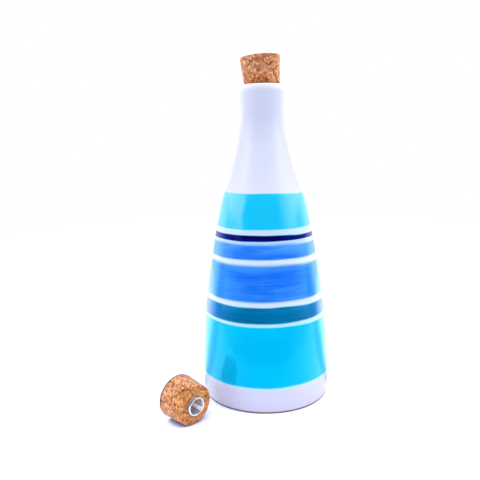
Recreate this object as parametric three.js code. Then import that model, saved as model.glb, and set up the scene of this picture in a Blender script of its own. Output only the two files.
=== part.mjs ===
// A glazed ceramic oil bottle with a cork stopper in its neck, and a loose cork pourer lying beside it.
// Sizes are in millimetres and degrees, +Z is up, and the origin is the centre of the bottle's base.

import * as THREE from "three";

// Bottle: the heights stack up from the base, and the radii are outside ones.
const BELLY_RADIUS = 46.3;
const BELLY_HEIGHT = 15;
const BELLY_TO_SHOULDER = 133;
const SHOULDER_RADIUS = 27.4;
const SHOULDER_SLOPE = 24;
const SHOULDER_TO_NECK = 55;
const NECK_RADIUS = 15.4;
const NECK_LENGTH = 17.3;
const HEEL_INSET = 1.3;
const HEEL_ROUND = 1.6;
const BODY_WALL = 4.5;
const NECK_WALL = 2.75;
const LIP_ROUND = 2.2;
const LIP_RISE = 4.5;
const FLOOR_THICKNESS = 6;
const FLOOR_FILLET = 10;

// How far the side curves keep their direction at the belly, at the shoulder and at the neck.
const BELLY_PULL = 58;
const SHOULDER_PULL = 9.2;
const NECK_PULL = 21;

// Both corks have the same softened edges, and each has its own taper on each side.
const CORK_EDGE = 0.9;
const STOPPER_TAPER = 4.8;
const POURER_TAPER = 4;

// Stopper: it leans a little, and the direction of the lean is counted from +X towards +Y.
const STOPPER_PROUD = 18.7;
const STOPPER_DEPTH = 9.5;
const STOPPER_CLEARANCE = 0.45;
const STOPPER_LEAN = 4.1;
const STOPPER_LEAN_TOWARDS = 113;

// Pourer: a free cork is a little wider than the bore that it is squeezed into.
const POURER_SQUEEZE = 0.95;
const POURER_CORK_LENGTH = 18;
const POURER_GAP = 14.1;
const POURER_MOUTH_Y = -7.4;
const DISC_THICKNESS = 0.8;
const DISC_EDGE = 0.25;
const TUBE_BORE_RADIUS = 5.1;
const TUBE_WALL = 0.8;
const TUBE_PROUD = 2.3;
const TUBE_LIP = 1.5;
const RIM_OVERHANG = 0.6;
const AIR_TUBE_RADIUS = 1.3;
const AIR_TUBE_WALL = 0.4;
const AIR_TUBE_LENGTH = 20;
const AIR_TUBE_PROUD = 0.5;
const AIR_TUBE_DROP = 38;
const PRESS_GAP = 0.2;

// Painted bands, by their heights above the base.
const BANDS = [
  { from: 18.8, to: 60.5, colour: 0x00bff8 },
  { from: 62.7, to: 73.5, colour: 0x00669f },
  { from: 76.9, to: 101.1, colour: 0x177dfc },
  { from: 104.5, to: 114.6, colour: 0x2b8cfa },
  { from: 116.6, to: 120.6, colour: 0x021464 },
  { from: 124.2, to: 147.8, colour: 0x02cafe },
];

// Finishes
const GLAZE_WHITE = 0xe6e9f6;
const CORK_TAN = 0xc88a5c;
const POURER_TAN = 0xd08a4c;
const STEEL = 0xd6d8de;
const GLAZE_ROUGHNESS = 0.12;
const CORK_ROUGHNESS = 0.85;
const STEEL_ROUGHNESS = 0.18;

// How finely round shapes are divided.
const BODY_SIDES = 40;
const CORK_SIDES = 32;
const TUBE_SIDES = 24;
const AIR_TUBE_SIDES = 12;
const RING_STEP = 12;
const BEND_STEPS = 3;
const CURVE_STEPS = 7;
const BEAD_STEPS = 10;
const HALVINGS = 40;

// Each quad of a turned solid is two triangles.
const QUAD_CORNERS = 6;

const radians = THREE.MathUtils.degToRad;
const at = (radius, height) => new THREE.Vector2(radius, height);

const shoulderHeight = BELLY_HEIGHT + BELLY_TO_SHOULDER;
const neckStart = shoulderHeight + SHOULDER_TO_NECK;
const bodyHeight = neckStart + NECK_LENGTH;
const heelRadius = BELLY_RADIUS - HEEL_INSET;
const boreRadius = NECK_RADIUS - NECK_WALL;
const stopperSpread = Math.tan(radians(STOPPER_TAPER));
const pourerSpread = Math.tan(radians(POURER_TAPER));

// A soft corner from one point to another, bent at the corner between them.
function bend(from, corner, to) {
  return new THREE.QuadraticBezierCurve(from, corner, to).getPoints(BEND_STEPS);
}

// The two side curves of the bottle, belly to shoulder and shoulder to neck, for the outside or the inside.
function sideCurves(belly, shoulder, neck) {
  const slope = radians(SHOULDER_SLOPE);
  const lean = at(-Math.sin(slope), Math.cos(slope)).multiplyScalar(SHOULDER_PULL);
  const turn = at(shoulder, shoulderHeight);
  return [
    new THREE.CubicBezierCurve(
      at(belly, BELLY_HEIGHT),
      at(belly, BELLY_HEIGHT + BELLY_PULL),
      turn.clone().sub(lean),
      turn,
    ),
    new THREE.CubicBezierCurve(
      turn,
      turn.clone().add(lean),
      at(neck, neckStart - NECK_PULL),
      at(neck, neckStart),
    ),
  ];
}

// The point of a rising curve at a height, found by halving.
function pointAtHeight(curve, height) {
  let low = 0;
  let high = 1;
  for (let i = 0; i < HALVINGS; i++) {
    const middle = (low + high) / 2;
    if (curve.getPoint(middle).y < height) low = middle;
    else high = middle;
  }
  return at(curve.getPoint(low).x, height);
}

// Heights for the rings of the side: each painted edge has one, with more between them on long stretches.
function ringHeights() {
  const edges = BANDS.flatMap((band) => [band.from, band.to]);
  const inside = edges.filter((edge) => edge > BELLY_HEIGHT && edge < neckStart);
  const stops = [BELLY_HEIGHT, shoulderHeight, neckStart, ...inside].sort((a, b) => a - b);
  const heights = [];
  for (let i = 1; i < stops.length; i++) {
    const count = Math.ceil((stops[i] - stops[i - 1]) / RING_STEP);
    for (let step = 0; step < count; step++) {
      heights.push(stops[i - 1] + ((stops[i] - stops[i - 1]) * step) / count);
    }
  }
  return [...heights, neckStart];
}

// The outside of the bottle, from the middle of the base to the top of the lip.
function outsideOutline(lipRound) {
  const [lower, upper] = sideCurves(BELLY_RADIUS, SHOULDER_RADIUS, NECK_RADIUS);
  const side = ringHeights().map((height) =>
    pointAtHeight(height < shoulderHeight ? lower : upper, height),
  );
  const heelTop = at(heelRadius, HEEL_ROUND);
  return [
    at(0, 0),
    ...bend(at(heelRadius - HEEL_ROUND, 0), at(heelRadius, 0), heelTop),
    ...bend(heelTop, at(BELLY_RADIUS, (heelTop.y + BELLY_HEIGHT) / 2), side[0]).slice(1),
    ...side.slice(1),
    ...bend(
      at(NECK_RADIUS, bodyHeight - LIP_RISE),
      at(NECK_RADIUS, bodyHeight),
      at(NECK_RADIUS - lipRound, bodyHeight),
    ),
  ];
}

// The inside of the bottle, from the lip's inner edge down the bore to the middle of the floor.
function insideOutline(lipRound) {
  const innerRound = NECK_WALL - lipRound;
  const innerBelly = BELLY_RADIUS - BODY_WALL;
  const innerShoulder = SHOULDER_RADIUS - BODY_WALL / Math.cos(radians(SHOULDER_SLOPE));
  const [lower, upper] = sideCurves(innerBelly, innerShoulder, boreRadius);
  const side = [...lower.getPoints(CURVE_STEPS), ...upper.getPoints(CURVE_STEPS).slice(1)].reverse();
  const filletTop = FLOOR_THICKNESS + FLOOR_FILLET;
  return [
    at(boreRadius, bodyHeight - innerRound),
    ...side.filter((point) => point.y > filletTop),
    ...bend(
      at(innerBelly, filletTop),
      at(innerBelly, FLOOR_THICKNESS),
      at(innerBelly - FLOOR_FILLET, FLOOR_THICKNESS),
    ),
    at(0, FLOOR_THICKNESS),
  ];
}

// An outline turned about the Z axis into a closed round solid.
function turned(outline, sides) {
  return new THREE.LatheGeometry(outline, sides).rotateX(Math.PI / 2);
}

// The colour of the glaze at a height on the outside.
function glazeAt(height) {
  const band = BANDS.find(({ from, to }) => height > from && height < to);
  return new THREE.Color(band ? band.colour : GLAZE_WHITE);
}

// One colour for each triangle of a turned solid, by the stretch of the outline that it comes from.
function painted(geometry, stretchColours) {
  const flat = geometry.toNonIndexed();
  const corners = flat.getAttribute("position").count;
  const colours = [];
  for (let corner = 0; corner < corners; corner++) {
    const stretch = Math.floor(corner / QUAD_CORNERS) % stretchColours.length;
    colours.push(...stretchColours[stretch].toArray());
  }
  return flat.setAttribute("color", new THREE.Float32BufferAttribute(colours, 3));
}

function bottleBody() {
  const lipRound = Math.min(LIP_ROUND, NECK_WALL);
  const outside = outsideOutline(lipRound);
  const outline = [...outside, ...insideOutline(lipRound)];
  const white = new THREE.Color(GLAZE_WHITE);
  const stretchColours = outline
    .slice(1)
    .map((end, i) => (i + 1 < outside.length ? glazeAt((outline[i].y + end.y) / 2) : white));
  return painted(turned(outline, BODY_SIDES), stretchColours);
}

// A solid tapered cork from its narrow end at the bottom to its wide end at the top.
function stopperCork() {
  const overLean = Math.tan(radians(STOPPER_LEAN)) - stopperSpread;
  const lipRadius = boreRadius - STOPPER_CLEARANCE - Math.max(0, overLean * STOPPER_DEPTH);
  const radiusAt = (height) => lipRadius + height * stopperSpread;
  const bottom = -STOPPER_DEPTH;
  const top = STOPPER_PROUD;
  return turned(
    [
      at(0, bottom),
      ...bend(
        at(radiusAt(bottom) - CORK_EDGE, bottom),
        at(radiusAt(bottom), bottom),
        at(radiusAt(bottom + CORK_EDGE), bottom + CORK_EDGE),
      ),
      ...bend(
        at(radiusAt(top - CORK_EDGE), top - CORK_EDGE),
        at(radiusAt(top), top),
        at(radiusAt(top) - CORK_EDGE, top),
      ),
      at(0, top),
    ],
    CORK_SIDES,
  );
}

// The pourer's own sizes: its axis runs from the narrow face at 0 to the wide end.
const pourerNarrow = boreRadius + POURER_SQUEEZE;
const pourerWide = pourerNarrow + POURER_CORK_LENGTH * pourerSpread;
const tubeRadius = TUBE_BORE_RADIUS + TUBE_WALL;
const seatRadius = tubeRadius + PRESS_GAP;
const discStart = POURER_CORK_LENGTH + PRESS_GAP;
const discEnd = discStart + DISC_THICKNESS;

// The pourer's tapered cork, with the hole that the tube is pressed through.
function pourerCork() {
  const length = POURER_CORK_LENGTH;
  const radiusAt = (height) => pourerNarrow + height * pourerSpread;
  return turned(
    [
      at(seatRadius, 0),
      ...bend(at(radiusAt(0) - CORK_EDGE, 0), at(radiusAt(0), 0), at(radiusAt(CORK_EDGE), CORK_EDGE)),
      ...bend(
        at(radiusAt(length - CORK_EDGE), length - CORK_EDGE),
        at(radiusAt(length), length),
        at(radiusAt(length) - CORK_EDGE, length),
      ),
      at(seatRadius, length),
      at(seatRadius, 0),
    ],
    CORK_SIDES,
  );
}

// The metal tube through the cork: a rolled rim at the narrow end, a plain lip past the disc.
function pourTube() {
  const rimRound = (TUBE_WALL + RIM_OVERHANG) / 2;
  const rimCentre = at(TUBE_BORE_RADIUS + rimRound, rimRound - TUBE_PROUD);
  const meets = Math.acos((tubeRadius - rimCentre.x) / rimRound);
  const rim = new THREE.EllipseCurve(
    rimCentre.x,
    rimCentre.y,
    rimRound,
    rimRound,
    Math.PI,
    2 * Math.PI + meets,
  ).getPoints(BEAD_STEPS);
  const end = discEnd + TUBE_LIP;
  const middle = at(TUBE_BORE_RADIUS + TUBE_WALL / 2, end);
  return turned(
    [
      ...rim,
      ...bend(at(tubeRadius, end - TUBE_WALL / 2), at(tubeRadius, end), middle),
      ...bend(middle, at(TUBE_BORE_RADIUS, end), at(TUBE_BORE_RADIUS, end - TUBE_WALL / 2)).slice(1),
      rim[0],
    ],
    TUBE_SIDES,
  );
}

// The thin disc on the wide end, with its outer edges eased.
function pourerDisc() {
  return turned(
    [
      at(seatRadius, discStart),
      at(pourerWide - DISC_EDGE, discStart),
      at(pourerWide, discStart + DISC_EDGE),
      at(pourerWide, discEnd - DISC_EDGE),
      at(pourerWide - DISC_EDGE, discEnd),
      at(seatRadius, discEnd),
      at(seatRadius, discStart),
    ],
    CORK_SIDES,
  );
}

// The thin air tube, which starts just outside the rim of the pour tube.
function airTube() {
  const inner = AIR_TUBE_RADIUS - AIR_TUBE_WALL;
  const start = -TUBE_PROUD - AIR_TUBE_PROUD;
  const end = start + AIR_TUBE_LENGTH;
  return turned(
    [
      at(inner, start),
      at(AIR_TUBE_RADIUS, start),
      at(AIR_TUBE_RADIUS, end),
      at(inner, end),
      at(inner, start),
    ],
    AIR_TUBE_SIDES,
  );
}

function piece(name, geometry, finish) {
  const mesh = new THREE.Mesh(geometry, new THREE.MeshStandardMaterial(finish));
  mesh.name = name;
  return mesh;
}

const glaze = { vertexColors: true, roughness: GLAZE_ROUGHNESS, metalness: 0 };
const cork = { color: CORK_TAN, roughness: CORK_ROUGHNESS, metalness: 0 };
const pourerFinish = { color: POURER_TAN, roughness: CORK_ROUGHNESS, metalness: 0 };
const steel = { color: STEEL, roughness: STEEL_ROUGHNESS, metalness: 1 };

// The stopper stands in the mouth of the neck and leans about the middle of the lip.
function stopper() {
  const group = new THREE.Group();
  const towards = radians(STOPPER_LEAN_TOWARDS);
  const hinge = new THREE.Vector3(-Math.sin(towards), Math.cos(towards), 0);
  group.position.z = bodyHeight;
  group.setRotationFromAxisAngle(hinge, radians(STOPPER_LEAN));
  group.add(piece("cork_stopper", stopperCork(), cork));
  return group;
}

// The pourer lies on its tapered side beside the bottle, with its narrow end towards -Y.
function pourer() {
  const group = new THREE.Group();
  const tilt = radians(POURER_TAPER);
  const rest = pourerNarrow * Math.cos(tilt);
  group.position.set(-(BELLY_RADIUS + POURER_GAP + pourerWide), POURER_MOUTH_Y, rest);
  group.rotation.x = tilt - Math.PI / 2;
  const air = piece("air_tube", airTube(), steel);
  const drop = radians(AIR_TUBE_DROP);
  const offset = TUBE_BORE_RADIUS - PRESS_GAP - AIR_TUBE_RADIUS;
  air.position.set(offset * Math.cos(drop), offset * Math.sin(drop), 0);
  group.add(
    piece("pourer_cork", pourerCork(), pourerFinish),
    piece("pour_tube", pourTube(), steel),
    piece("pourer_disc", pourerDisc(), steel),
    air,
  );
  return group;
}

const oilBottle = new THREE.Group();
oilBottle.name = "ceramic_oil_bottle";
oilBottle.add(piece("bottle_body", bottleBody(), glaze), stopper(), pourer());

export default oilBottle;
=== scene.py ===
# A glazed ceramic oil bottle with painted bands and a cork stopper, and a loose cork pourer beside it.
# Lengths are in metres and angles in degrees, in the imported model's frame: +Z is up from the bottle's base.

import math

import bpy
import numpy as np
from mathutils import Matrix, Vector, noise
from mathutils.kdtree import KDTree


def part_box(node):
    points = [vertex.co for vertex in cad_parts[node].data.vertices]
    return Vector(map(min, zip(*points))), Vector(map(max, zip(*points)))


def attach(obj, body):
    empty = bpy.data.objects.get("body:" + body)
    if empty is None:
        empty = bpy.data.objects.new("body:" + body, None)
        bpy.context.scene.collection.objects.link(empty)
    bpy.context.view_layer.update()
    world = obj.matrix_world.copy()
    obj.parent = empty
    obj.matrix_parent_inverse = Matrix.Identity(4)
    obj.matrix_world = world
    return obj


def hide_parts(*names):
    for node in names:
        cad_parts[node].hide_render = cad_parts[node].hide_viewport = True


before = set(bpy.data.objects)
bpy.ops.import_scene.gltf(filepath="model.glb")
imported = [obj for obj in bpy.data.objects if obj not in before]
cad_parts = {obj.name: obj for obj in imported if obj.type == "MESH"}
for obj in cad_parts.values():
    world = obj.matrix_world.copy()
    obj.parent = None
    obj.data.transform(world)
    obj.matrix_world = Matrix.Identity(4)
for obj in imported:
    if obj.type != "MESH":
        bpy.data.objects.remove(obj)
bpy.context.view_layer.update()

MM = 0.001

# Bottle: the same driving sizes as the solids have. The belly and the height come from the frame.
BELLY_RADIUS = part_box("bottle_body")[1].x
BODY_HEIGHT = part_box("bottle_body")[1].z
BELLY_HEIGHT = 15 * MM
SHOULDER_HEIGHT = 148 * MM
SHOULDER_RADIUS = 27.4 * MM
SHOULDER_SLOPE = 24
NECK_START = 203 * MM
NECK_RADIUS = 15.4 * MM
HEEL_INSET = 1.3 * MM
HEEL_ROUND = 1.6 * MM
BODY_WALL = 4.5 * MM
NECK_WALL = 2.75 * MM
LIP_ROUND = 2.2 * MM
LIP_RISE = 4.5 * MM
FLOOR_THICKNESS = 6 * MM
FLOOR_FILLET = 10 * MM
BELLY_PULL = 58 * MM
SHOULDER_PULL = 9.2 * MM
NECK_PULL = 21 * MM
BORE_RADIUS = NECK_RADIUS - NECK_WALL

# Corks
CORK_EDGE = 0.9 * MM
STOPPER_TAPER = 4.8
POURER_TAPER = 4
STOPPER_PROUD = 18.7 * MM
STOPPER_DEPTH = 9.5 * MM
STOPPER_CLEARANCE = 0.45 * MM
STOPPER_LEAN = 4.1
STOPPER_LEAN_TOWARDS = 113
POURER_SQUEEZE = 0.95 * MM
POURER_CORK_LENGTH = 18 * MM
POURER_GAP = 14.1 * MM
POURER_MOUTH_Y = -7.4 * MM

# Metal pieces of the pourer
DISC_THICKNESS = 0.8 * MM
DISC_EDGE = 0.25 * MM
TUBE_BORE_RADIUS = 5.1 * MM
TUBE_WALL = 0.8 * MM
TUBE_PROUD = 2.3 * MM
TUBE_LIP = 1.5 * MM
RIM_OVERHANG = 0.6 * MM
AIR_TUBE_RADIUS = 1.3 * MM
AIR_TUBE_WALL = 0.4 * MM
AIR_TUBE_LENGTH = 20 * MM
AIR_TUBE_PROUD = 0.5 * MM
AIR_TUBE_DROP = 38
PRESS_GAP = 0.2 * MM

# Worked out from the sizes above. The pourer's axis runs from the narrow face at 0 to the wide end.
STOPPER_SPREAD = math.tan(math.radians(STOPPER_TAPER))
POURER_SPREAD = math.tan(math.radians(POURER_TAPER))
POURER_NARROW = BORE_RADIUS + POURER_SQUEEZE
POURER_WIDE = POURER_NARROW + POURER_CORK_LENGTH * POURER_SPREAD
TUBE_RADIUS = TUBE_BORE_RADIUS + TUBE_WALL
SEAT_RADIUS = TUBE_RADIUS + PRESS_GAP
DISC_START = POURER_CORK_LENGTH + PRESS_GAP
DISC_END = DISC_START + DISC_THICKNESS

# Painted bands from the foot up: lower and upper edge and how soft they are in mm, the paint where it is
# deep, where it is thin and away from the front, the tint of the gloss over it, how much of the pale tone
# the brush streaks show, and how far down from the upper edge the paint thins out in mm.
# Each band's tone away from the front is paler than its deep paint: a painted reflection.
BANDS = [
    {
        "edges": (18.8, 60.5),
        "soft": (1.6, 0.9),
        "deep": (0, 176, 237),
        "pale": (0, 187, 247),
        "side": (0, 184, 246),
        "gloss": (0.0, 0.75, 1.0),
        "streak": 0.2,
        "thin": 14,
    },
    {
        "edges": (62.7, 73.5),
        "soft": (1.4, 1.2),
        "deep": (0, 88, 138),
        "pale": (0, 126, 184),
        "side": (0, 116, 202),
        "gloss": (0.0, 0.35, 0.8),
        "streak": 0.4,
        "thin": 7,
    },
    {
        "edges": (76.9, 101.1),
        "soft": (2.2, 3.0),
        "deep": (4, 106, 250),
        "pale": (66, 154, 255),
        "side": (26, 134, 252),
        "gloss": (0.25, 0.9, 0.6),
        "streak": 0.42,
        "thin": 6,
    },
    {
        "edges": (104.5, 114.6),
        "soft": (1.6, 2.4),
        "deep": (8, 112, 250),
        "pale": (78, 160, 255),
        "side": (66, 152, 252),
        "gloss": (0.3, 0.6, 0.5),
        "streak": 0.52,
        "thin": 9,
    },
    {
        "edges": (116.6, 120.6),
        "soft": (0.7, 0.8),
        "deep": (0, 0, 80),
        "pale": (0, 18, 128),
        "side": (0, 20, 124),
        "gloss": (0.03, 0.15, 0.6),
        "streak": 0.6,
        "thin": 1,
    },
    {
        "edges": (124.2, 147.8),
        "soft": (1.0, 1.0),
        "deep": (0, 196, 252),
        "pale": (0, 208, 255),
        "side": (60, 204, 249),
        "gloss": (0.75, 0.6, 0.6),
        "streak": 0.2,
        "thin": 3,
    },
]

# White glaze by height in mm: its tone at the front, and its tone away from the front. In the narrow gaps
# between the bands the paint has run a little into it. The whites hold painted light: the shoulder and the
# lip are painted lighter, and the darker tone away from the front is painted shade.
GLAZE_WHITES = [
    (15.0, (206, 210, 251), (201, 206, 238)),
    (18.4, (186, 226, 253), (196, 222, 250)),
    (61.6, (170, 232, 255), (182, 238, 255)),
    (75.2, (202, 228, 255), (214, 234, 255)),
    (102.8, (214, 236, 255), (222, 236, 255)),
    (115.6, (176, 214, 255), (200, 224, 255)),
    (122.4, (193, 230, 255), (208, 232, 255)),
    (147.0, (219, 226, 254), (210, 215, 238)),
    (150.0, (219, 226, 254), (206, 211, 231)),
    (178.0, (219, 226, 254), (207, 212, 231)),
    (194.0, (211, 220, 252), (213, 220, 247)),
    (215.0, (211, 220, 252), (214, 221, 248)),
    (219.6, (236, 238, 252), (236, 238, 252)),
]

# The way that the front faces, where the side tones end towards the back and begin at the front (1 is the
# front and -1 the back), and how much of the streaks they show. The side tones are painted reflection on
# the bands and painted shade on the white.
GLAZE_FRONT = 226
SIDE_RANGE = (-0.3, 0.1, 0.55, 0.92)
SIDE_STREAKS = 0.6

# How far the bands' upper edges dip on the right, and where that begins and is full (1 is the far right).
BAND_DIP = 1.0 * MM
DIP_RANGE = (0.25, 0.85)

# Noises on the glaze: how often each changes in a metre along X, Y and Z, how fine it is and how rough.
WANDER = {"scale": (45, 45, 45), "detail": 1.0}
BRISTLES = {"scale": (30, 30, 620), "detail": 3.0, "rough": 0.55}
PAINT_LOAD = {"scale": (24, 24, 60), "detail": 1.0}
PAINT_LIFT = {"scale": (40, 40, 200), "detail": 2.0}
CLOUDS = {"scale": (28, 28, 40), "detail": 2.0}
RIPPLES = {"scale": (70, 70, 50), "detail": 1.0}

# What they do: where streaks and lifted paint begin and are full, how far the bands' edges wander and fray,
# how much clay shows through in clouds, and how high the ripples stand.
STREAK_RANGE = (0.42, 0.64)
LIFT_RANGE = (0.2, 0.6)
EDGE_WANDER = 0.8 * MM
EDGE_FRAY = 0.9 * MM
CLOUD_SHARE = 0.1
RIPPLE_HEIGHT = 0.35 * MM

# Bare clay under the foot, painted dark as the contact shadow under the heel, the heights between which the
# glaze begins, and the glaze's gloss.
CLAY_AND_CONTACT_SHADE = (128, 116, 118)
CLAY_BLEND = (1.1 * MM, 1.6 * MM)
CLAY_ROUGHNESS = 0.8
GLAZE_IOR = 2.0
WHITE_GLOSS = (0.4, 0.3, 0.2, 1.0)
GLAZE_ROUGHNESS = 0.12

# Cork grain: pressed granules with crevices between some of them, and a few holes, all painted dark as
# shade. The spread shapes how many granules are dark and how many pale, and a higher rarity leaves fewer
# crevices open.
GRANULE_SIZE = 1.5 * MM
CORK_VOXEL = 0.3 * MM
CREVICE_WIDTH = 0.45 * MM
CREVICE_DEPTH = 0.16 * MM
CREVICE_RARITY = 1.5
GRANULE_STEP = 0.14 * MM
TONE_SPREAD = (2.2, 2.0)
HOLE_SHARE = 0.025
HOLE_DEPTH = 0.4 * MM
HOLE_SHADE = 0.7
WARP_SIZE = 1.3 * MM
WARP_REACH = 0.5 * MM
MARK_DEPTH = 0.5 * MM
STOPPER_SEED = 11
POURER_SEED = 23

# Painted shade on the corks: dark rings at their ends, and a painted contact shadow at the bottle's lip. The
# radius that they lie outside, how far they reach up and down, and how dark they are.
RING_START = 11 * MM
STOPPER_RING = 1.2 * MM
POURER_RING = 2.4 * MM
END_SHADE = 0.6
LIP_SHADE = 0.42

# Cork tones from the darkest granules to the palest, the ochre that tints them in patches and towards the
# narrow end, where it is also painted shade, the painted shade in the crevices, and the finish.
STOPPER_TONES = [
    (0.0, (112, 60, 36)),
    (0.35, (190, 118, 79)),
    (0.65, (222, 150, 112)),
    (1.0, (255, 206, 180)),
]
POURER_TONES = [
    (0.0, (118, 64, 36)),
    (0.35, (194, 123, 80)),
    (0.65, (226, 160, 118)),
    (1.0, (255, 208, 174)),
]
CORK_OCHRE = (234, 214, 146)
OCHRE_REACH = 11 * MM
OCHRE_SHARE = 0.6
CORK_DARK = (84, 42, 22)
CORK_ROUGHNESS = 0.7
CORK_SPECULAR = 0.4
CORK_SHEEN = (255, 220, 214)
SHEEN_WEIGHT = 0.35
SHEEN_ROUGHNESS = 0.5

# Noises on the cork, given as on the glaze, and what they do: where ochre patches begin and are full and
# how much ochre that is, how strongly flecks and cells change the tone, and how high the cells stand.
CORK_PATCHES = {"scale": (330, 330, 330), "detail": 2.0}
CORK_FLECKS = {"scale": (1300, 1300, 1300), "detail": 2.0, "rough": 0.6}
CORK_CELLS = {"scale": (2600, 2600, 2600), "detail": 3.0, "rough": 0.65}
PATCH_RANGE = (0.34, 0.66)
PATCH_OCHRE = (-0.1, 0.6)
FLECK_CONTRAST = 1.16
CELL_CONTRAST = 0.6
CELL_HEIGHT = 0.15 * MM

# Single slits and pits in the corks: where each begins and ends, how far it reaches to its sides in mm and
# how dark it is painted as shade. A place on a tapered side is an angle and a height in mm, and on the
# pourer's narrow face an angle and a radius in mm.
STOPPER_MARKS = [
    {"ends": ((-102, 13.0), (-106, 11.7)), "reach": 0.55, "shade": 1.0},
    {"ends": ((-106, 11.7), (-113, 10.9)), "reach": 0.55, "shade": 1.0},
    {"ends": ((-118, 1.8), (-121, 1.2)), "reach": 0.7, "shade": 0.9},
    {"ends": ((-85, 2.6), (-85, 2.2)), "reach": 0.6, "shade": 0.8},
    {"ends": ((-160, 5.2), (-156, 5.2)), "reach": 0.6, "shade": 0.5},
    {"ends": ((-164, 12.0), (-160, 11.4)), "reach": 0.6, "shade": 0.5},
    {"ends": ((179, 14.2), (179, 12.6)), "reach": 0.5, "shade": 0.5},
    {"ends": ((-75, 10.6), (-72, 9.8)), "reach": 0.5, "shade": 0.6},
    {"ends": ((-150, 8.2), (-146, 7.0)), "reach": 0.5, "shade": 0.4},
]
POURER_MARKS = [
    {"ends": ((-172, 8.6), (-170, 8.0)), "reach": 0.8, "shade": 0.8},
    {"ends": ((-154, 8.4), (-158, 8.0)), "reach": 0.8, "shade": 0.8},
    {"ends": ((-103, 1.8), (-102, 1.4)), "reach": 0.6, "shade": 0.9},
    {"ends": ((-115, 1.6), (-111, 0.9)), "reach": 0.6, "shade": 0.9},
    {"ends": ((-125, 3.4), (-121, 2.9)), "reach": 0.6, "shade": 0.9},
    {"ends": ((-133, 5.2), (-131, 4.4)), "reach": 0.5, "shade": 0.6},
]
POURER_FACE_MARKS = [
    {"ends": ((170, 9.0), (173, 10.4)), "reach": 0.7, "shade": 0.8},
    {"ends": ((-52, 10.8), (-48, 11.2)), "reach": 0.6, "shade": 0.6},
    {"ends": ((-8, 11.8), (-4, 12.2)), "reach": 0.6, "shade": 0.7},
]

# Steel: its polished and dull tones, the painted shade on the low side of the bore, the angles round the
# bore at which that shade begins, is full, fades and ends, and how dull each part is.
STEEL_TINT = (222, 224, 232)
STEEL_DULL = (254, 252, 255)
STEEL_BORE_SHADE = (178, 131, 147)
BORE_SHADE_SIDES = (40, 80, 195, 235)
BORE_DULL = 0.95
SHANK_DULL = 0.6
AIR_TUBE_DULL = 0.95
DISC_EDGE_DULL = 0.7

# Uneven rubbing in the steel, which changes how rough it is, and turned rings on the disc with their tones.
RUBBING = {"scale": (420, 90, 420), "detail": 4.0, "rough": 0.6}
RUBBING_RANGE = (0.25, 0.75)
RUBBING_HEIGHT = 0.02 * MM
STEEL_ROUGHNESS = (0.1, 0.24)
TURNED_RINGS = {"scale": (1400, 1400, 1400), "detail": 3.0, "rough": 0.6}
DISC_TONES = [(0.3, (150, 153, 163)), (0.7, (206, 208, 215))]

# How finely round shapes are divided.
BODY_SIDES = 160
TUBE_SIDES = 96
AIR_TUBE_SIDES = 32
BODY_STEP = 1.6 * MM
CORK_STEP = 0.8 * MM
METAL_STEP = 0.8 * MM
CURVE_STEPS = 48
BEND_STEPS = 10
BEAD_STEPS = 24

# Camera, fitted to the photograph. The heading is counted from +Y towards +X.
CAMERA_PLACE = (-0.2920, -0.2752, 0.1826)
CAMERA_HEADING = 44.24
CAMERA_PITCH = -9.97
CAMERA_ROLL = -1.13
CAMERA_LENS = 42.31
CAMERA_SENSOR = 36

# Light. Directions are counted round from the camera's side towards the right of the picture, and up.
LAMPS = [
    {"name": "lamp_left", "around": -82, "up": 36, "distance": 0.9, "size": (1.0, 0.7), "radiance": 1.8},
    {"name": "lamp_right", "around": 84, "up": 36, "distance": 0.9, "size": (1.0, 0.7), "radiance": 2.2},
    {"name": "lamp_top", "around": 180, "up": 78, "distance": 1.0, "size": (0.7, 0.7), "radiance": 1.0},
]
LAMP_TARGET = (0, 0, 0.11)
AMBIENT = (0.64, 1.25)

# What glaze and metal mirror, as levels by how far round from the camera's side one looks: pale ground up
# to the horizon, and above it a dark room in front, dim walls at the sides and white behind. Two soft boxes
# hang above, and begin and end gradually.
GROUND = [(35, 1.0), (62, 1.1), (84, 1.1), (97, 0.4), (121, 1.7), (128, 1.8), (142, 1.4)]
WALLS = [(58, 0.04), (98, 0.32), (120, 1.2)]
HORIZON = (-3, 5)
SOFT_BOXES = [
    {"around": (-150, -128, -66, -50), "up": (7, 14, 24, 44), "level": 1.7},
    {"around": (30, 84, 128, 150), "up": (7, 14, 24, 44), "level": 1.7},
]

# Floor: a round white sheet that ends a little in front of the bottle. The camera sees it brighter than it
# is, shaded where the object nearly touches it and white further away.
FLOOR_RADIUS = 0.6
FLOOR_FRONT = 0.16
FLOOR_SIDES = 128
FLOOR_ALBEDO = 0.8
FLOOR_SHOWN = (1.12, 1.17, 1.6)
FLOOR_FAR_RANGE = (0.11, 0.17)
FLOOR_FAR_SHOWN = 1.6
CONTACT_REACH = 0.04
CONTACT_RANGE = (0.08, 0.53)
CONTACT_SAMPLES = 16
CONTACT_SHADE = (118, 144, 213)


def radians(*angles):
    """One angle, or several, from degrees."""
    turned_angles = [math.radians(angle) for angle in angles]
    return turned_angles[0] if len(turned_angles) == 1 else turned_angles


def linear(colour):
    """An sRGB colour of 0 to 255 as linear RGBA."""
    share = np.array(colour, float) / 255
    low = share / 12.92
    high = ((share + 0.055) / 1.055) ** 2.4
    return (*np.where(share <= 0.04045, low, high), 1.0)


def grey(level):
    """A linear grey as RGBA."""
    return (level, level, level, 1.0)


def smooth_step(value):
    """0 to 1 with soft ends."""
    share = np.clip(value, 0, 1)
    return share * share * (3 - 2 * share)


# Outlines: points are (radius, height), and a round shape is its outline turned about the Z axis.


def bend(start, corner, end, steps=BEND_STEPS):
    """A soft corner from one point to another, bent at the corner between them."""
    start, corner, end = np.array(start), np.array(corner), np.array(end)
    shares = np.linspace(0, 1, steps + 1)
    return [(1 - t) ** 2 * start + 2 * t * (1 - t) * corner + t**2 * end for t in shares]


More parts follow.
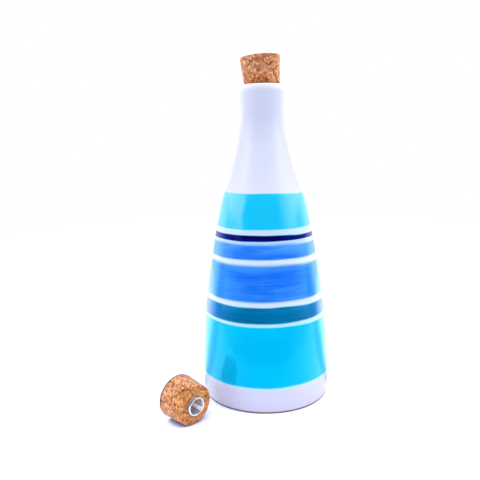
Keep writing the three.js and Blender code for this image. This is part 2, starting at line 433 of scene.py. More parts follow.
def cubic(start, leave, arrive, end, steps=CURVE_STEPS):
    """A cubic curve through two points, with the directions given by the two between them."""
    start, leave, arrive, end = (np.array(point) for point in (start, leave, arrive, end))
    points = []
    for t in np.linspace(0, 1, steps + 1):
        points.append(
            (1 - t) ** 3 * start + 3 * (1 - t) ** 2 * t * leave + 3 * (1 - t) * t**2 * arrive + t**3 * end
        )
    return points


def side_curve(belly, shoulder, neck):
    """The bottle's side from belly to neck, for the outside or the inside."""
    slope = radians(SHOULDER_SLOPE)
    lean = SHOULDER_PULL * np.array((-math.sin(slope), math.cos(slope)))
    turn = np.array((shoulder, SHOULDER_HEIGHT))
    lower = cubic((belly, BELLY_HEIGHT), (belly, BELLY_HEIGHT + BELLY_PULL), turn - lean, turn)
    upper = cubic(turn, turn + lean, (neck, NECK_START - NECK_PULL), (neck, NECK_START))
    return lower + upper[1:]


def spaced(outline, step):
    """The same outline with no stretch longer than the step."""
    points = [np.array(outline[0], float)]
    for end in outline[1:]:
        start = points[-1]
        end = np.array(end, float)
        count = max(1, math.ceil(np.linalg.norm(end - start) / step))
        for i in range(1, count + 1):
            points.append(start + (end - start) * i / count)
    return points


def bottle_outline():
    """From the middle of the base up the outside, over the lip and down the inside to the floor."""
    heel = BELLY_RADIUS - HEEL_INSET
    heel_top = (heel, HEEL_ROUND)
    belly_low = (BELLY_RADIUS, BELLY_HEIGHT)
    inner_round = NECK_WALL - LIP_ROUND
    inner_belly = BELLY_RADIUS - BODY_WALL
    inner_shoulder = SHOULDER_RADIUS - BODY_WALL / math.cos(radians(SHOULDER_SLOPE))
    fillet_top = FLOOR_THICKNESS + FLOOR_FILLET
    inside = side_curve(inner_belly, inner_shoulder, BORE_RADIUS)[::-1]
    return [
        (0, 0),
        *bend((heel - HEEL_ROUND, 0), (heel, 0), heel_top),
        *bend(heel_top, (BELLY_RADIUS, (HEEL_ROUND + BELLY_HEIGHT) / 2), belly_low)[1:],
        *side_curve(BELLY_RADIUS, SHOULDER_RADIUS, NECK_RADIUS)[1:],
        *bend(
            (NECK_RADIUS, BODY_HEIGHT - LIP_RISE),
            (NECK_RADIUS, BODY_HEIGHT),
            (NECK_RADIUS - LIP_ROUND, BODY_HEIGHT),
        ),
        *bend(
            (BORE_RADIUS + inner_round, BODY_HEIGHT),
            (BORE_RADIUS, BODY_HEIGHT),
            (BORE_RADIUS, BODY_HEIGHT - inner_round),
        )[1:],
        *[point for point in inside if point[1] > fillet_top],
        *bend(
            (inner_belly, fillet_top),
            (inner_belly, FLOOR_THICKNESS),
            (inner_belly - FLOOR_FILLET, FLOOR_THICKNESS),
        ),
        (0, FLOOR_THICKNESS),
    ]


def stopper_lip_radius():
    """The stopper's radius at the bottle's lip, where its lean still leaves its narrow end clear."""
    over_lean = math.tan(radians(STOPPER_LEAN)) - STOPPER_SPREAD
    return BORE_RADIUS - STOPPER_CLEARANCE - max(0, over_lean * STOPPER_DEPTH)


def cork_outline(inner, low, high, base_radius, spread):
    """A tapered cork with round edges, from its narrow end to its wide end, about the axis or a hole."""

    def radius(height):
        return base_radius + height * spread

    return [
        (inner, low),
        *bend(
            (radius(low) - CORK_EDGE, low),
            (radius(low), low),
            (radius(low + CORK_EDGE), low + CORK_EDGE),
        ),
        *bend(
            (radius(high - CORK_EDGE), high - CORK_EDGE),
            (radius(high), high),
            (radius(high) - CORK_EDGE, high),
        ),
        (inner, high),
    ]


def stopper_outline():
    """The stopper, with heights counted from the bottle's lip."""
    return cork_outline(0, -STOPPER_DEPTH, STOPPER_PROUD, stopper_lip_radius(), STOPPER_SPREAD)


def pourer_outline():
    """The pourer's cork round the hole for the tube, as a closed loop."""
    return cork_outline(SEAT_RADIUS, 0, POURER_CORK_LENGTH, POURER_NARROW, POURER_SPREAD)


def tube_outline():
    """The pour tube as a closed loop: a rolled rim at the narrow end, a plain rounded lip at the other."""
    rim_round = (TUBE_WALL + RIM_OVERHANG) / 2
    rim_middle = np.array((TUBE_BORE_RADIUS + rim_round, rim_round - TUBE_PROUD))
    meets = math.acos((TUBE_RADIUS - rim_middle[0]) / rim_round)
    turns = np.linspace(math.pi, 2 * math.pi + meets, BEAD_STEPS + 1)
    rim = [rim_middle + rim_round * np.array((math.cos(turn), math.sin(turn))) for turn in turns]
    end = DISC_END + TUBE_LIP
    middle = (TUBE_BORE_RADIUS + TUBE_WALL / 2, end)
    return [
        *rim,
        *bend((TUBE_RADIUS, end - TUBE_WALL / 2), (TUBE_RADIUS, end), middle),
        *bend(middle, (TUBE_BORE_RADIUS, end), (TUBE_BORE_RADIUS, end - TUBE_WALL / 2))[1:],
    ]


def disc_outline():
    """The thin disc on the wide end, with round outer edges, as a closed loop."""
    outer = POURER_WIDE
    return [
        (SEAT_RADIUS, DISC_START),
        *bend((outer - DISC_EDGE, DISC_START), (outer, DISC_START), (outer, DISC_START + DISC_EDGE)),
        *bend((outer, DISC_END - DISC_EDGE), (outer, DISC_END), (outer - DISC_EDGE, DISC_END)),
        (SEAT_RADIUS, DISC_END),
    ]


def air_tube_outline():
    """The thin air tube as a closed loop with rounded ends."""
    inner = AIR_TUBE_RADIUS - AIR_TUBE_WALL
    middle = AIR_TUBE_RADIUS - AIR_TUBE_WALL / 2
    half = AIR_TUBE_WALL / 2
    start = -TUBE_PROUD - AIR_TUBE_PROUD
    end = start + AIR_TUBE_LENGTH
    return [
        *bend((middle, start), (AIR_TUBE_RADIUS, start), (AIR_TUBE_RADIUS, start + half)),
        *bend((AIR_TUBE_RADIUS, end - half), (AIR_TUBE_RADIUS, end), (middle, end)),
        *bend((middle, end), (inner, end), (inner, end - half))[1:],
        *bend((inner, start + half), (inner, start), (middle, start))[:-1],
    ]


# Meshes


def ring_faces(lower, upper):
    """Faces between two rings of vertex numbers, either of which may be a single point."""
    count = max(len(lower), len(upper))
    faces = []
    for i in range(count):
        j = (i + 1) % count
        if len(lower) == 1:
            faces.append((lower[0], upper[j], upper[i]))
        elif len(upper) == 1:
            faces.append((lower[i], lower[j], upper[0]))
        else:
            faces.append((lower[i], lower[j], upper[j], upper[i]))
    return faces


def turned(name, outline, sides, closed=False):
    """An outline turned about the Z axis into a closed mesh with smooth faces."""
    angles = np.linspace(0, 2 * math.pi, sides, endpoint=False)
    vertices = []
    rings = []
    for radius, height in outline:
        round_angles = angles if radius > 0 else angles[:1]
        rings.append(range(len(vertices), len(vertices) + len(round_angles)))
        vertices.extend((radius * math.cos(a), radius * math.sin(a), height) for a in round_angles)
    pairs = list(zip(rings, rings[1:]))
    if closed:
        pairs.append((rings[-1], rings[0]))
    faces = [face for lower, upper in pairs for face in ring_faces(lower, upper)]
    mesh = bpy.data.meshes.new(name)
    mesh.from_pydata(vertices, [], faces)
    mesh.shade_smooth()
    piece = bpy.data.objects.new(name, mesh)
    bpy.context.scene.collection.objects.link(piece)
    return piece


def remesh(piece, voxel):
    """Gives a closed shape even faces of about the voxel's size."""
    modifier = piece.modifiers.new("even", "REMESH")
    modifier.mode = "VOXEL"
    modifier.voxel_size = voxel
    evaluated = piece.evaluated_get(bpy.context.evaluated_depsgraph_get())
    even = bpy.data.meshes.new_from_object(evaluated)
    piece.modifiers.clear()
    piece.data = even
    even.shade_smooth()


def store(mesh, name, values):
    """Keeps one number for each vertex for the material to read."""
    attribute = mesh.attributes.new(name, "FLOAT", "POINT")
    attribute.data.foreach_set("value", np.asarray(values, np.float32))


# Cork grain


def warped(point):
    """A point moved a little, so that the granules' borders wander."""
    return point + WARP_REACH * noise.noise_vector(point / WARP_SIZE)


def granule_field(points, seed):
    """For each point its granule, the one next to it and how near their border is; then their count."""
    random = np.random.default_rng(seed)
    noise.seed_set(seed)
    reach = 2 * GRANULE_SIZE
    low = points.min(0) - reach
    high = points.max(0) + reach
    count = int(np.prod((high - low) / GRANULE_SIZE))
    centres = random.uniform(low, high, (count, 3))
    tree = KDTree(count)
    for i, centre in enumerate(centres):
        tree.insert(centre, i)
    tree.balance()
    own, other, border = [], [], []
    for point in points:
        nearest, second = tree.find_n(warped(Vector(point)), 2)
        own.append(nearest[1])
        other.append(second[1])
        border.append(second[2] - nearest[2])
    return np.array(own), np.array(other), np.array(border), count


def round_place(angle, radius, height):
    """A place on a cork from its angle, radius and height."""
    turn = radians(angle)
    return np.array((radius * math.cos(turn), radius * math.sin(turn), height))


def side_marks(marks, base_radius, spread):
    """Marks on a tapered side, from its radius at height 0 and how it spreads upwards."""
    placed = []
    for mark in marks:
        ends = []
        for angle, height in mark["ends"]:
            ends.append(round_place(angle, base_radius + height * MM * spread, height * MM))
        placed.append((*ends, mark["reach"] * MM, mark["shade"]))
    return placed


def face_marks(marks):
    """Marks on a flat face at height 0."""
    placed = []
    for mark in marks:
        ends = [round_place(angle, radius * MM, 0) for angle, radius in mark["ends"]]
        placed.append((*ends, mark["reach"] * MM, mark["shade"]))
    return placed


def mark_share(points, marks):
    """How deep each point lies in a slit or pit: full up to half the mark's reach, and 0 beyond it."""
    share = np.zeros(len(points))
    for start, end, reach, shade in marks:
        along = end - start
        place = np.clip((points - start) @ along / (along @ along), 0, 1)
        distance = np.linalg.norm(points - start - place[:, None] * along, axis=1)
        share = np.maximum(share, shade * (1 - smooth_step(2 * distance / reach - 1)))
    return share


def ring_share(points, rings, reach):
    """How much painted shade each point takes for lying near one of the rings, each a height and its shade.
    """
    outer = np.hypot(points[:, 0], points[:, 1]) > RING_START
    share = np.zeros(len(points))
    for height, shade in rings:
        near = 1 - smooth_step(abs(points[:, 2] - height) / reach)
        share = np.maximum(share, shade * outer * near)
    return share


def granulate(piece, seed, marks, rings, ring_reach):
    """Presses crevices, uneven granules, holes and marks into a cork, keeps each granule's tone, and keeps
    the painted shade of its crevices, holes, marks and end rings.
    """
    mesh = piece.data
    points = np.array([vertex.co for vertex in mesh.vertices])
    normals = np.array([vertex.normal for vertex in mesh.vertices])
    own, other, border, count = granule_field(points, seed)
    random = np.random.default_rng(seed + 1)
    tone = random.beta(*TONE_SPREAD, count)
    sunk = random.random(count)
    missing = random.random(count) < HOLE_SHARE
    open_side = random.random(count)
    inside = smooth_step(border / CREVICE_WIDTH)
    crack = (open_side[own] * open_side[other]) ** CREVICE_RARITY * (1 - inside)
    hole = missing[own] * inside
    mark = mark_share(points, marks)
    depth = GRANULE_STEP * sunk[own] * inside + CREVICE_DEPTH * crack
    depth = depth + HOLE_DEPTH * hole + MARK_DEPTH * mark
    mesh.vertices.foreach_set("co", (points - normals * depth[:, None]).ravel())
    # Painted shade: crevices, holes and the end rings are darkened, and the marks below.
    shade = crack + HOLE_SHADE * hole + ring_share(points, rings, ring_reach)
    store(mesh, "tone", tone[own])
    # Darker ochre towards the narrow end: partly painted shade on the stopper's low part and the pourer's
    # face.
    store(mesh, "ochre", smooth_step(1 - points[:, 2] / OCHRE_REACH))
    store(mesh, "dark", np.clip(np.maximum(shade, mark), 0, 1))
    mesh.update()


# Materials


class Nodes:
    """Short calls that add nodes to one tree and link them."""

    def __init__(self, tree):
        self.tree = tree
        tree.nodes.clear()

    def add(self, kind, inputs=None, **settings):
        """A node with its settings, and its inputs set by name or number to a value or a link."""
        node = self.tree.nodes.new(kind)
        for name, value in settings.items():
            setattr(node, name, value)
        for key, value in (inputs or {}).items():
            if isinstance(value, bpy.types.NodeSocket):
                self.tree.links.new(value, node.inputs[key])
            else:
                node.inputs[key].default_value = value
        return node

    def place(self, kind="Object"):
        """Where the shaded point lies."""
        return self.add("ShaderNodeTexCoord").outputs[kind]

    def height(self, place):
        """The Z part of a place or direction."""
        return self.add("ShaderNodeSeparateXYZ", {0: place}).outputs[2]

    def attribute(self, name):
        """A number kept on the mesh."""
        return self.add("ShaderNodeAttribute", attribute_name=name).outputs["Fac"]

    def math(self, operation, *values):
        """The result of one sum."""
        return self.add("ShaderNodeMath", dict(enumerate(values)), operation=operation).outputs[0]

    def vector(self, operation, *values):
        """The result of one sum with vectors: a vector, or a number for a length or a dot product."""
        node = self.add("ShaderNodeVectorMath", dict(enumerate(values)), operation=operation)
        return node.outputs["Value" if operation in ("LENGTH", "DOT_PRODUCT") else "Vector"]

    def mix(self, share, first, second, blend="MIX"):
        """Two colours mixed by a share."""
        inputs = {0: share, 6: first, 7: second}
        return self.add("ShaderNodeMix", inputs, data_type="RGBA", blend_type=blend).outputs[2]

    def between(self, share, first, second):
        """A number between two others, by a share."""
        return self.add("ShaderNodeMix", {0: share, 2: first, 3: second}).outputs[0]

    def range(self, value, low, high, to_low=0.0, to_high=1.0):
        """A value carried softly from one range to another."""
        inputs = {"Value": value, "From Min": low, "From Max": high, "To Min": to_low, "To Max": to_high}
        return self.add("ShaderNodeMapRange", inputs, interpolation_type="SMOOTHSTEP").outputs[0]

    def window(self, value, begin, full, last, end):
        """1 between two values, falling softly to 0 outside them."""
        rise = self.range(value, begin, full)
        fall = self.range(value, last, end, 1.0, 0.0)
        return self.math("MULTIPLY", rise, fall)

    def levels(self, angle, stops):
        """A level that goes softly from stop to stop, each an angle in degrees and its level."""
        total = stops[0][1]
        for (begin, before), (end, after) in zip(stops, stops[1:]):
            total = self.math("ADD", total, self.range(angle, *radians(begin, end), 0.0, after - before))
        return total

    def noise(self, vector, scale, detail=2.0, rough=0.5):
        """Soft noise from 0 to 1, with its own scale along each axis."""
        spread = self.add("ShaderNodeMapping", {"Vector": vector, "Scale": scale}).outputs[0]
        inputs = {"Vector": spread, "Scale": 1.0, "Detail": detail, "Roughness": rough}
        return self.add("ShaderNodeTexNoise", inputs).outputs[0]

    def sway(self, wave, reach):
        """A noise of 0 to 1 carried to both sides of 0, with the reach from end to end."""
        return self.math("MULTIPLY_ADD", wave, reach, -reach / 2)

    def ramp(self, share, stops):
        """A colour ramp through its stops."""
        node = self.add("ShaderNodeValToRGB", {0: share})
        elements = node.color_ramp.elements
        while len(elements) < len(stops):
            elements.new(1.0)
        for element, (place, colour) in zip(elements, stops):
            element.position = place
            element.color = linear(colour)
        return node.outputs[0]

    def bump(self, height, distance):
        """A normal that follows a height."""
        return self.add("ShaderNodeBump", {"Height": height, "Distance": distance}).outputs[0]

    def diffuse(self, colour):
        """A plain dull shader."""
        return self.add("ShaderNodeBsdfDiffuse", {"Color": colour}).outputs[0]

    def mix_shaders(self, share, first, second):
        """Two shaders mixed by a share."""
        return self.add("ShaderNodeMixShader", {0: share, 1: first, 2: second}).outputs[0]


def new_material(name):
    """An empty material and the calls that fill it."""
    material = bpy.data.materials.new(name)
    material.use_nodes = True
    return material, Nodes(material.node_tree)


def surface(nodes, inputs):
    """The material's one shader."""
    shader = nodes.add("ShaderNodeBsdfPrincipled", inputs)
    nodes.add("ShaderNodeOutputMaterial", {"Surface": shader.outputs[0]})


def brush_marks(nodes, place):
    """What the brush left at a place, and how the bands change round the bottle, with the share away from the
    front that takes the painted side reflection and shade.
    """
    outward = nodes.vector("NORMALIZE", nodes.vector("MULTIPLY", place, (1, 1, 0)))
    front = radians(GLAZE_FRONT)
    facing = nodes.vector("DOT_PRODUCT", outward, (math.cos(front), math.sin(front), 0))
    right = nodes.vector("DOT_PRODUCT", outward, (-math.sin(front), math.cos(front), 0))
    bristles = nodes.noise(place, **BRISTLES)
    return {
        "painted_side_share": nodes.window(facing, *SIDE_RANGE),
        "dip": nodes.range(right, *DIP_RANGE, 0.0, BAND_DIP),
        "wander": nodes.sway(nodes.noise(place, **WANDER), EDGE_WANDER),
        "fray": nodes.sway(bristles, EDGE_FRAY),
        "streaks": nodes.range(bristles, *STREAK_RANGE),
        "load": nodes.noise(place, **PAINT_LOAD),
        "lift": nodes.range(nodes.noise(place, **PAINT_LIFT), *LIFT_RANGE),
    }


def white_glaze(nodes, place, height, painted_side_share):
    """The white under the bands, by height and by how far it is from the front, with faint clouds, and with
    painted light and shade in its tones.
    """
    share = nodes.math("DIVIDE", height, BODY_HEIGHT)
    front = nodes.ramp(share, [(up * MM / BODY_HEIGHT, tone) for up, tone, _ in GLAZE_WHITES])
    side = nodes.ramp(share, [(up * MM / BODY_HEIGHT, tone) for up, _, tone in GLAZE_WHITES])
    cloud = nodes.math("MULTIPLY", nodes.noise(place, **CLOUDS), CLOUD_SHARE)
    return nodes.mix(cloud, nodes.mix(painted_side_share, front, side), linear(CLAY_AND_CONTACT_SHADE))


def band_cover(nodes, band, lower, upper):
    """Where a band's paint lies between its soft edges, from the heights that each edge goes by."""
    low, high = (edge * MM for edge in band["edges"])
    soft_low, soft_high = (soft * MM / 2 for soft in band["soft"])
    rise = nodes.range(lower, low - soft_low, low + soft_low)
    fall = nodes.range(upper, high - soft_high, high + soft_high, 1.0, 0.0)
    return nodes.math("MULTIPLY", rise, fall)


def band_paint(nodes, band, upper, brush):
    """A band's paint: paler in the streaks and where it thins out at the top, with a paler tone away from the
    front that is painted reflection.
    """
    high = band["edges"][1] * MM
    streaked = nodes.math("MULTIPLY", brush["streaks"], band["streak"])
    # The load is about a half on average, so twice the load makes the average length the band's own.
    thin_from = nodes.math("MULTIPLY_ADD", brush["load"], -2 * band["thin"] * MM, high)
    thinned = nodes.math("MULTIPLY", nodes.range(upper, thin_from, high), brush["lift"])
    share = nodes.math("MAXIMUM", streaked, thinned)
    pale = linear(band["pale"])
    front = nodes.mix(share, linear(band["deep"]), pale)
    side = nodes.mix(nodes.math("MULTIPLY", share, SIDE_STREAKS), linear(band["side"]), pale)
    return nodes.mix(brush["painted_side_share"], front, side)


def painted_glaze(nodes, place, height):
    """The colour of the glaze with its bands, and the tint of its gloss."""
    brush = brush_marks(nodes, place)
    lower = nodes.math("ADD", nodes.math("ADD", height, brush["wander"]), brush["fray"])
    upper = nodes.math("ADD", lower, brush["dip"])
    colour = white_glaze(nodes, place, height, brush["painted_side_share"])
    gloss = WHITE_GLOSS
    for band in BANDS:
        cover = band_cover(nodes, band, lower, upper)
        colour = nodes.mix(cover, colour, band_paint(nodes, band, upper, brush))
        gloss = nodes.mix(cover, gloss, (*band["gloss"], 1.0))
    return colour, gloss


def glaze_material():
    """White glaze with hand-painted bands, glossy all over but for the bare clay under the foot, which is
    painted dark as a contact shadow.
    """
    material, nodes = new_material("glaze")
    place = nodes.place()
    height = nodes.height(place)
    colour, gloss = painted_glaze(nodes, place, height)
    glazed = nodes.range(height, *CLAY_BLEND)
    surface(
        nodes,
        {
            "Base Color": nodes.mix(glazed, linear(CLAY_AND_CONTACT_SHADE), colour),
            "Roughness": nodes.range(glazed, 0.0, 1.0, CLAY_ROUGHNESS, GLAZE_ROUGHNESS),
            "IOR": GLAZE_IOR,
            "Specular Tint": gloss,
            "Normal": nodes.bump(nodes.noise(place, **RIPPLES), RIPPLE_HEIGHT),
        },
    )
    return material


def cork_material(name, tones):
    """Pressed cork: each granule has its own tone and hue, with flecks, fine cells, and crevices painted dark
    as shade.
    """
    material, nodes = new_material(name)
    place = nodes.place()
    cells = nodes.noise(place, **CORK_CELLS)
    flecks = nodes.noise(place, **CORK_FLECKS)
    tone = nodes.math("ADD", nodes.attribute("tone"), nodes.sway(flecks, FLECK_CONTRAST))
    tone = nodes.math("ADD", tone, nodes.sway(cells, CELL_CONTRAST))
    patches = nodes.range(nodes.noise(place, **CORK_PATCHES), *PATCH_RANGE, *PATCH_OCHRE)
    # The ochre share from the narrow end is partly painted shade; the patches are the cork's own tint.
    ochre = nodes.math("MULTIPLY_ADD", nodes.attribute("ochre"), OCHRE_SHARE, patches)
    colour = nodes.mix(ochre, nodes.ramp(tone, tones), linear(CORK_OCHRE), "MULTIPLY")
    surface(
        nodes,
        {
            "Base Color": nodes.mix(nodes.attribute("dark"), colour, linear(CORK_DARK)),
            "Roughness": CORK_ROUGHNESS,
            "Specular IOR Level": CORK_SPECULAR,
            "Sheen Weight": SHEEN_WEIGHT,
            "Sheen Roughness": SHEEN_ROUGHNESS,
            "Sheen Tint": linear(CORK_SHEEN),
            "Normal": nodes.bump(cells, CELL_HEIGHT),
        },
    )
    return material


def steel_material():
    """Polished steel, unevenly rubbed, dull inside the tube with painted shade on the bore's low side, with
    turned marks on the disc.
    """
    material, nodes = new_material("steel")
    rubbing = nodes.noise(nodes.place(), **RUBBING)
    rings = nodes.noise(nodes.attribute("radius"), **TURNED_RINGS)
    dull = nodes.attribute("dull")
    colour = nodes.mix(dull, linear(STEEL_TINT), linear(STEEL_DULL))
    colour = nodes.mix(nodes.attribute("face"), colour, nodes.ramp(rings, DISC_TONES))
    surface(
        nodes,
        {
            "Base Color": nodes.mix(nodes.attribute("bore_shade"), colour, linear(STEEL_BORE_SHADE)),
            "Metallic": nodes.math("SUBTRACT", 1.0, dull),
            "Roughness": nodes.range(rubbing, *RUBBING_RANGE, *STEEL_ROUGHNESS),
            "Normal": nodes.bump(rubbing, RUBBING_HEIGHT),
        },
    )
    return material


# Pieces


def dress(piece, node, body, material, matrix=Matrix.Identity(4)):
    """Puts a piece in its place in the frame, in the stead of its solid, with its finish."""
    piece.data.transform(matrix)
    piece.data.materials.clear()
    piece.data.materials.append(material)
    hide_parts(node)
    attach(piece, body)


def make_bottle():
    """The bottle's body stands at the frame's origin."""
    body = turned("glazed_body", spaced(bottle_outline(), BODY_STEP), BODY_SIDES)
    dress(body, "bottle_body", "bottle", glaze_material())


def stopper_place():
    """The stopper leans about the middle of the bottle's lip."""
    towards = radians(STOPPER_LEAN_TOWARDS)
    hinge = Vector((-math.sin(towards), math.cos(towards), 0))
    return Matrix.Translation((0, 0, BODY_HEIGHT)) @ Matrix.Rotation(radians(STOPPER_LEAN), 4, hinge)


def make_stopper():
    """The cork in the bottle's neck, with painted shade rings at its ends and a fainter painted contact
    shadow at the lip.
    """
    cork = turned("stopper_granules", spaced(stopper_outline(), CORK_STEP), TUBE_SIDES)
    remesh(cork, CORK_VOXEL)
    marks = side_marks(STOPPER_MARKS, stopper_lip_radius(), STOPPER_SPREAD)
    # A painted shade ring at each end, and a fainter painted contact shadow where the lip meets the cork.
    rings = [(-STOPPER_DEPTH, END_SHADE), (0, LIP_SHADE), (STOPPER_PROUD, END_SHADE)]
    granulate(cork, STOPPER_SEED, marks, rings, STOPPER_RING)
    finish = cork_material("cork", STOPPER_TONES)
    dress(cork, "cork_stopper", "stopper", finish, stopper_place())


def pourer_place():
    """The pourer lies on its tapered side, with its narrow end towards -Y."""
    across = -(BELLY_RADIUS + POURER_GAP + POURER_WIDE)
    rest = POURER_NARROW * math.cos(radians(POURER_TAPER))
    place = Matrix.Translation((across, POURER_MOUTH_Y, rest))
    return place @ Matrix.Rotation(radians(POURER_TAPER - 90), 4, "X")


def make_pourer_cork():
    """The pourer's cork, with marks on its side and narrow face and a painted shade ring at its wide end."""
    cork = turned("pourer_granules", spaced(pourer_outline(), CORK_STEP), TUBE_SIDES, closed=True)
    remesh(cork, CORK_VOXEL)
    marks = side_marks(POURER_MARKS, POURER_NARROW, POURER_SPREAD) + face_marks(POURER_FACE_MARKS)
    rings = [(POURER_CORK_LENGTH, END_SHADE)]
    granulate(cork, POURER_SEED, marks, rings, POURER_RING)
    finish = cork_material("pourer_cork", POURER_TONES)
    dress(cork, "pourer_cork", "pourer", finish, pourer_place())


def age_tube(tube):
    """Dulls the tube away from its rim, inside and outside, and paints shade on the low side of its bore."""
    points = np.array([vertex.co for vertex in tube.data.vertices])
    height = points[:, 2]
    bore = np.hypot(points[:, 0], points[:, 1]) < TUBE_BORE_RADIUS + TUBE_WALL / 4
    # The rim stays bright up to half a wall's thickness from the tube's end.
    away = smooth_step((height + TUBE_PROUD) / TUBE_WALL - 0.5)
    shank = SHANK_DULL * (height < POURER_CORK_LENGTH)
    angle = np.degrees(np.arctan2(points[:, 1], points[:, 0])) % 360
    begin, full, last, end = BORE_SHADE_SIDES
    low_side = smooth_step((angle - begin) / (full - begin)) * smooth_step((end - angle) / (end - last))
    store(tube.data, "dull", np.where(bore, BORE_DULL, shank) * away)
    # The low side of the bore takes a painted shade.
    store(tube.data, "bore_shade", bore * away * low_side)


def make_pour_tube(steel):
    """The tube through the pourer's cork."""
    tube = turned("polished_tube", spaced(tube_outline(), METAL_STEP), TUBE_SIDES, closed=True)
    age_tube(tube)
    dress(tube, "pour_tube", "pourer", steel, pourer_place())


def age_disc(disc):
    """Keeps how far out each point of the disc lies for its turned marks, and dulls its outer edge."""
    radius = np.array([math.hypot(vertex.co.x, vertex.co.y) for vertex in disc.data.vertices])
    # The edge begins two edge rounds from the outside and is full at one.
    edge = smooth_step((radius - POURER_WIDE) / DISC_EDGE + 2)
    store(disc.data, "radius", radius)
    store(disc.data, "face", 1 - edge)
    store(disc.data, "dull", DISC_EDGE_DULL * edge)


def make_pourer_disc(steel):
    """The disc on the wide end of the pourer's cork."""
    disc = turned("polished_disc", spaced(disc_outline(), METAL_STEP), TUBE_SIDES, closed=True)
    age_disc(disc)
    dress(disc, "pourer_disc", "pourer", steel, pourer_place())


def make_air_tube(steel):
    """The air tube, which lies along the wall of the pour tube."""
    air = turned("polished_air_tube", spaced(air_tube_outline(), METAL_STEP), AIR_TUBE_SIDES, closed=True)
    store(air.data, "dull", np.full(len(air.data.vertices), AIR_TUBE_DULL))
    offset = TUBE_BORE_RADIUS - PRESS_GAP - AIR_TUBE_RADIUS
    drop = radians(AIR_TUBE_DROP)
    along_wall = Matrix.Translation((offset * math.cos(drop), offset * math.sin(drop), 0))
    dress(air, "air_tube", "pourer", steel, pourer_place() @ along_wall)


def make_pourer():
    """The loose pourer: its cork, and three pieces of the same steel."""
    steel = steel_material()
    make_pourer_cork()
    make_pour_tube(steel)
    make_pourer_disc(steel)
    make_air_tube(steel)


# Camera, light and floor


def camera_axes():
    """The camera's right, up and backward directions before its roll."""
    heading, pitch = radians(CAMERA_HEADING, CAMERA_PITCH)
    forward = Vector(
        (math.sin(heading) * math.cos(pitch), math.cos(heading) * math.cos(pitch), math.sin(pitch))
    )
    right = Vector((math.cos(heading), -math.sin(heading), 0))
    return right, right.cross(forward), -forward


def make_camera():
    """The camera at the photograph's viewing angle."""
    right, up, back = camera_axes()
    turn = Matrix((right, up, back)).transposed().to_4x4()
    data = bpy.data.cameras.new("camera")
    data.sensor_width = CAMERA_SENSOR
    data.lens = CAMERA_LENS
    camera = bpy.data.objects.new("camera", data)
    roll = Matrix.Rotation(radians(CAMERA_ROLL), 4, "Z")
    camera.matrix_world = Matrix.Translation(CAMERA_PLACE) @ turn @ roll
    bpy.context.scene.collection.objects.link(camera)
    bpy.context.scene.camera = camera


def front_direction():
    """The level direction from the bottle towards the camera."""
    back = camera_axes()[2]
    return Vector((back.x, back.y, 0)).normalized()


def make_lamp(lamp):
    """One area lamp, aimed at the bottle and not seen in mirrors."""
    around, up = radians(lamp["around"], lamp["up"])
    level = front_direction() * math.cos(around) + camera_axes()[0] * math.sin(around)
    direction = level * math.cos(up) + Vector((0, 0, math.sin(up)))
    data = bpy.data.lights.new(lamp["name"], "AREA")
    data.shape = "RECTANGLE"
    data.size, data.size_y = lamp["size"]
    data.energy = lamp["radiance"] * math.pi * data.size * data.size_y
    light = bpy.data.objects.new(lamp["name"], data)
    light.location = Vector(LAMP_TARGET) + direction * lamp["distance"]
    light.rotation_euler = direction.to_track_quat("Z", "Y").to_euler()
    light.visible_camera = False
    light.visible_glossy = False
    bpy.context.scene.collection.objects.link(light)


def ray_kinds(nodes):
    """1 for a ray straight from the camera, and 1 for a ray by way of a mirror or through glass."""
    rays = nodes.add("ShaderNodeLightPath").outputs
    mirrored = nodes.math("MAXIMUM", rays["Is Glossy Ray"], rays["Is Transmission Ray"])
    return rays["Is Camera Ray"], mirrored


def way_round(nodes, direction):
    """How far round a direction points, from the camera's side towards the right of the picture."""
    facing = nodes.vector("DOT_PRODUCT", direction, front_direction())
    side = nodes.vector("DOT_PRODUCT", direction, camera_axes()[0])
    return nodes.math("ARCTAN2", side, facing)


def soft_box(nodes, around, up, box):
    """One soft box as seen in a mirror, from what way round and how far up one looks."""
    across = nodes.window(around, *radians(*box["around"]))
    along = nodes.window(up, *radians(*box["up"]))
    return nodes.math("MULTIPLY", nodes.math("MULTIPLY", across, along), box["level"])


def mirrored_room(nodes, direction, height):
    """What a mirror shows in a direction: the walls and soft boxes, and the ground below the horizon."""
    around = way_round(nodes, direction)
    away = nodes.math("ABSOLUTE", around)
    up = nodes.math("ARCSINE", height)
    room = nodes.levels(away, WALLS)
    for box in SOFT_BOXES:
        room = nodes.math("MAXIMUM", room, soft_box(nodes, around, up, box))
    below = nodes.range(up, *radians(*HORIZON), 1.0, 0.0)
    return nodes.between(below, room, nodes.levels(away, GROUND))


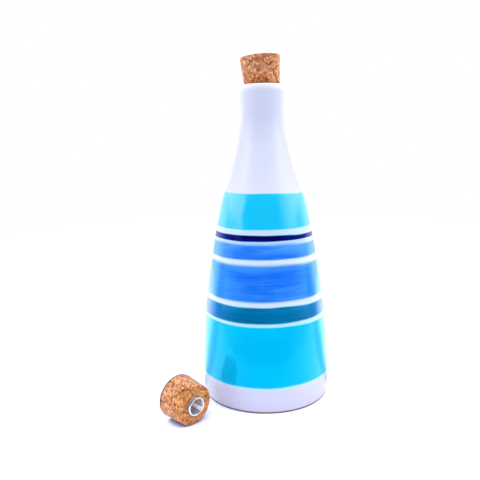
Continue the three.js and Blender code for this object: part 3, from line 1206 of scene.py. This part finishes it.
def make_world():
    """White to the camera, even light that grows upwards for dull surfaces, and a room for glossy ones."""
    world = bpy.data.worlds.new("studio")
    world.use_nodes = True
    bpy.context.scene.world = world
    nodes = Nodes(world.node_tree)
    direction = nodes.place("Generated")
    height = nodes.height(direction)
    ambient = nodes.range(height, 0.0, 1.0, *AMBIENT)
    from_camera, mirrored = ray_kinds(nodes)
    level = nodes.between(mirrored, ambient, mirrored_room(nodes, direction, height))
    level = nodes.between(from_camera, level, 1.0)
    shader = nodes.add("ShaderNodeBackground", {"Color": grey(1.0), "Strength": level})
    nodes.add("ShaderNodeOutputWorld", {"Surface": shader.outputs[0]})


def shown_floor(nodes, place):
    """The floor's colour to the camera: white, but for the shade where the object nearly touches it."""
    inputs = {"Distance": CONTACT_REACH}
    open_sky = nodes.add("ShaderNodeAmbientOcclusion", inputs, samples=CONTACT_SAMPLES).outputs["AO"]
    near = nodes.mix(nodes.range(open_sky, *CONTACT_RANGE), linear(CONTACT_SHADE), (*FLOOR_SHOWN, 1.0))
    distance = nodes.vector("LENGTH", place)
    return nodes.mix(nodes.range(distance, *FLOOR_FAR_RANGE), near, grey(FLOOR_FAR_SHOWN))


def floor_material():
    """White paper, shown so bright that only deeper shadows are left, and mirrored as the pale ground."""
    material, nodes = new_material("floor")
    place = nodes.place()
    ground = nodes.levels(nodes.math("ABSOLUTE", way_round(nodes, place)), GROUND)
    from_camera, mirrored = ray_kinds(nodes)
    shader = nodes.mix_shaders(mirrored, nodes.diffuse(grey(FLOOR_ALBEDO)), nodes.diffuse(ground))
    shader = nodes.mix_shaders(from_camera, shader, nodes.diffuse(shown_floor(nodes, place)))
    nodes.add("ShaderNodeOutputMaterial", {"Surface": shader})
    return material


def make_floor():
    """A round sheet whose nearest edge lies a little in front of the bottle."""
    middle = front_direction() * (FLOOR_FRONT - FLOOR_RADIUS)
    corners = []
    for i in range(FLOOR_SIDES):
        angle = 2 * math.pi * i / FLOOR_SIDES
        corners.append(middle + FLOOR_RADIUS * Vector((math.cos(angle), math.sin(angle), 0)))
    mesh = bpy.data.meshes.new("floor")
    mesh.from_pydata(corners, [], [range(FLOOR_SIDES)])
    mesh.materials.append(floor_material())
    floor = bpy.data.objects.new("floor", mesh)
    bpy.context.scene.collection.objects.link(floor)


bpy.context.scene.view_settings.view_transform = "Standard"
make_camera()
make_world()
make_floor()
for one_lamp in LAMPS:
    make_lamp(one_lamp)
make_bottle()
make_stopper()
make_pourer()
